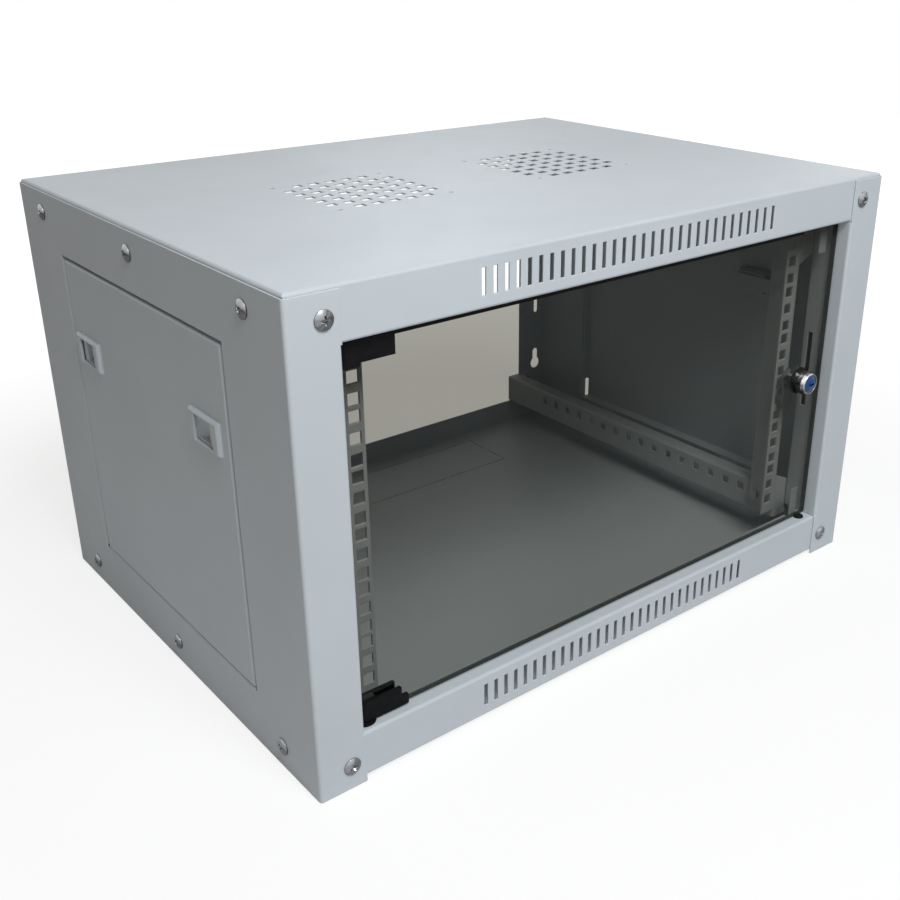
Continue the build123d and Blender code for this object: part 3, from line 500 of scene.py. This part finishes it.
def cross_recess(top):
    """Mesh of the driver's cross: wide wings at the top that narrow to the bottom."""
    vertices = []
    for level, share in ((top, 1.0), (top - recess_depth, recess_floor_share)):
        reach = recess_reach * share
        wing = recess_wing * (1 + share) / 2
        for i in range(4):
            turn = Matrix.Rotation(i * math.pi / 2, 3, "Z")
            for x, y in ((reach, -wing), (reach, wing), (wing, wing)):
                spot = turn @ Vector((x, y, 0))
                vertices.append((spot.x, spot.y, level))
    count = len(vertices) // 2
    faces = [tuple(range(count)), tuple(reversed(range(count, 2 * count)))]
    for i in range(count):
        after = (i + 1) % count
        faces.append((i, i + count, after + count, after))
    return mesh_of("cross", vertices, faces)


def cut(mesh, cutter):
    """Mesh with another one taken out of it."""
    whole = linked("whole", mesh)
    tool = linked("tool", cutter)
    modifier = whole.modifiers.new("cut", "BOOLEAN")
    modifier.object = tool
    modifier.operation = "DIFFERENCE"
    modifier.solver = "EXACT"
    graph = bpy.context.evaluated_depsgraph_get()
    result = bpy.data.meshes.new_from_object(whole.evaluated_get(graph))
    for thing in (whole, tool):
        bpy.data.objects.remove(thing)
    return result


def screw_mesh():
    """Domed screw with a cross recess and a thread, its head standing on Z = 0."""
    dome = head_rise - head_rim
    ball = (head_radius**2 + dome**2) / (2 * dome)
    full = math.asin(head_radius / ball)
    root = shank_radius - thread_depth
    points = [(0, -shank_length), (root, -shank_length)]
    for i in range(int(shank_length / thread_pitch)):
        level = -shank_length + i * thread_pitch
        points.append((root, level + thread_root_share * thread_pitch))
        points.append((shank_radius, level + thread_crest_share * thread_pitch))
    points += [(root, 0), (head_radius - head_chamfer, 0)]
    points += [(head_radius, head_chamfer), (head_radius, head_rim)]
    for i in range(dome_steps - 1, 0, -1):
        angle = full * i / dome_steps
        points.append((ball * math.sin(angle), head_rise - ball + ball * math.cos(angle)))
    points.append((0, head_rise))
    body = turned(points, turned_sides)
    return smoothed(cut(body, cross_recess(head_rise + recess_overrun)))


def joined(name, mesh, places):
    """One object of several copies of a mesh: a place is a 4 x 4 matrix."""
    vertices = []
    faces = []
    for place in places:
        start = len(vertices)
        vertices += [place @ vertex.co for vertex in mesh.vertices]
        faces += [tuple(start + i for i in face.vertices) for face in mesh.polygons]
    return linked(name, smoothed(mesh_of(name, vertices, faces)))


def standing(place, outwards, turn):
    """Matrix that stands a piece on a place, with its Z outwards, turned about it."""
    facing = Vector(outwards).to_track_quat("Z", "Y").to_matrix().to_4x4()
    return Matrix.Translation(place) @ facing @ Matrix.Rotation(math.radians(turn), 4, "Z")


def screw_places(node, outwards):
    """Places of a node's screws on the sheet, from the node's box."""
    low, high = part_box(node)
    axis = 0 if outwards[0] else 1
    across = 1 - axis
    outside = high[axis] if outwards[axis] > 0 else low[axis]
    columns = [low[across] + head_radius, high[across] - head_radius]
    if axis == 0:
        columns.insert(1, (columns[0] + columns[1]) / 2)
    places = []
    for level in (low.z + head_radius, high.z - head_radius):
        for column in columns:
            spot = Vector((0, 0, level))
            spot[axis] = outside - outwards[axis] * head_rise
            spot[across] = column
            places.append(spot)
    return places


def casing_screws(material):
    """Cross-recessed screws in place of the plain ones, each turned differently."""
    mesh = screw_mesh()
    groups = (
        ("front_casing_screws", "front_screws", (0, -1, 0)),
        ("right_casing_screws", "right_side_screws", (1, 0, 0)),
        ("left_casing_screws", "left_side_screws", (-1, 0, 0)),
    )
    for name, node, outwards in groups:
        places = []
        for i, place in enumerate(screw_places(node, outwards)):
            places.append(standing(place, outwards, screw_first_turn + screw_next_turn * i))
        piece = joined(name, mesh, places)
        piece.data.materials.append(material)
        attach(piece, "cabinet")
        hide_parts(node)


def channel(name, low, high, wall):
    """Channel that lies upside down over an edge along X: its walls stand outside the box given."""
    front = low.y - wall
    back = high.y + wall
    outside = [(front, low.z), (front, high.z + wall), (back, high.z + wall), (back, low.z)]
    inside = [(high.y, low.z), (high.y, high.z), (low.y, high.z), (low.y, low.z)]
    outline = outside + inside
    vertices = [(x, y, z) for x in (low.x, high.x) for y, z in outline]
    count = len(outline)
    faces = [tuple(reversed(range(count))), tuple(range(count, 2 * count))]
    for i in range(count):
        after = (i + 1) % count
        faces.append((i, after, after + count, i + count))
    return linked(name, mesh_of(name, vertices, faces))


def dark_glass_edge(material):
    """Black channel over the upper edge of the glass, seen as a dark line under the top fascia."""
    low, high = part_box("door_glass")
    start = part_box("top_hinge_block")[1].x + dark_edge_from_hinge
    dark_edge_low = Vector((start, low.y, high.z - dark_edge_cover))
    dark_edge_high = Vector((high.x - dark_edge_from_end, high.y, high.z))
    dark_channel = channel("dark_glass_edge_channel", dark_edge_low, dark_edge_high, dark_edge_wall)
    dark_channel.data.materials.append(material)
    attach(dark_channel, "door")


def add_camera():
    """Camera at the photograph's place and angle."""
    data = bpy.data.cameras.new("camera")
    data.lens = camera_lens
    data.sensor_width = camera_sensor
    data.shift_x, data.shift_y = camera_shift
    data.clip_start = camera_near
    camera = linked("camera", data)
    camera.location = camera_place
    camera.rotation_euler = [math.radians(angle) for angle in camera_turn]
    bpy.context.scene.camera = camera


def softbox(name, place, aim, size, power, colour):
    """Square soft light at a place, turned to a point."""
    data = bpy.data.lights.new(name, "AREA")
    data.size = size
    data.energy = power
    data.color = colour
    light = linked(name, data)
    light.location = place
    light.rotation_euler = (Vector(aim) - Vector(place)).to_track_quat("-Z", "Y").to_euler()


def add_lights():
    """Light from the front and above, a sheen on the top from behind, and weak light on the sides."""
    for light in lights:
        softbox(*light)


def add_world():
    """White seen directly and in reflections, warm grey light for everything else."""
    world = bpy.data.worlds.new("painted_reflection")
    world.use_nodes = True
    bpy.context.scene.world = world
    tree = world.node_tree
    tree.nodes.clear()
    path = tree.nodes.new("ShaderNodeLightPath")
    output = tree.nodes.new("ShaderNodeOutputWorld")
    white = tree.nodes.new("ShaderNodeBackground")
    white.inputs["Color"].default_value = white_colour
    soft = tree.nodes.new("ShaderNodeBackground")
    soft.inputs["Color"].default_value = world_colour
    soft.inputs["Strength"].default_value = world_strength
    seen = path.outputs["Is Camera Ray"]
    for name in ("Is Glossy Ray", "Is Transmission Ray"):
        larger = tree.nodes.new("ShaderNodeMath")
        larger.operation = "MAXIMUM"
        tree.links.new(seen, larger.inputs[0])
        tree.links.new(path.outputs[name], larger.inputs[1])
        seen = larger.outputs[0]
    mix = tree.nodes.new("ShaderNodeMixShader")
    tree.links.new(seen, mix.inputs[0])
    tree.links.new(soft.outputs[0], mix.inputs[1])
    tree.links.new(white.outputs[0], mix.inputs[2])
    tree.links.new(mix.outputs[0], output.inputs["Surface"])


def add_floor():
    """Plain pale floor, which the camera sees as white but for the cabinet's faint shadow."""
    shade = Shader("pale_floor")
    seen = shade.node("LightPath", {}).outputs["Is Camera Ray"]
    plain = shade.node("BsdfDiffuse", {"Color": floor_colour}).outputs[0]
    glow = shade.node("Emission", {"Strength": floor_glow}).outputs[0]
    away = shade.node("VectorMath", {0: shade.place()}, operation="LENGTH").outputs["Value"]
    glowing = shade.ranged(away, shadow_near, shadow_far, shadow_glow_share, 1.0)
    share = shade.math("MULTIPLY", seen, glowing)
    material = shade.done(shade.node("MixShader", {0: share, 1: plain, 2: glow}).outputs[0])
    corners = [(-1, -1), (1, -1), (1, 1), (-1, 1)]
    vertices = [(x * floor_half, y * floor_half, 0) for x, y in corners]
    floor = linked("floor", mesh_of("floor", vertices, [(0, 1, 2, 3)]))
    floor.data.materials.append(material)
    floor.location.z = -floor_drop


materials = finishes()
dress_frame(materials)
casing_screws(materials["bright_screws"])
dark_glass_edge(materials["black_rubber"])
add_camera()
add_lights()
add_world()
add_floor()
bpy.context.scene.view_settings.view_transform = "Standard"
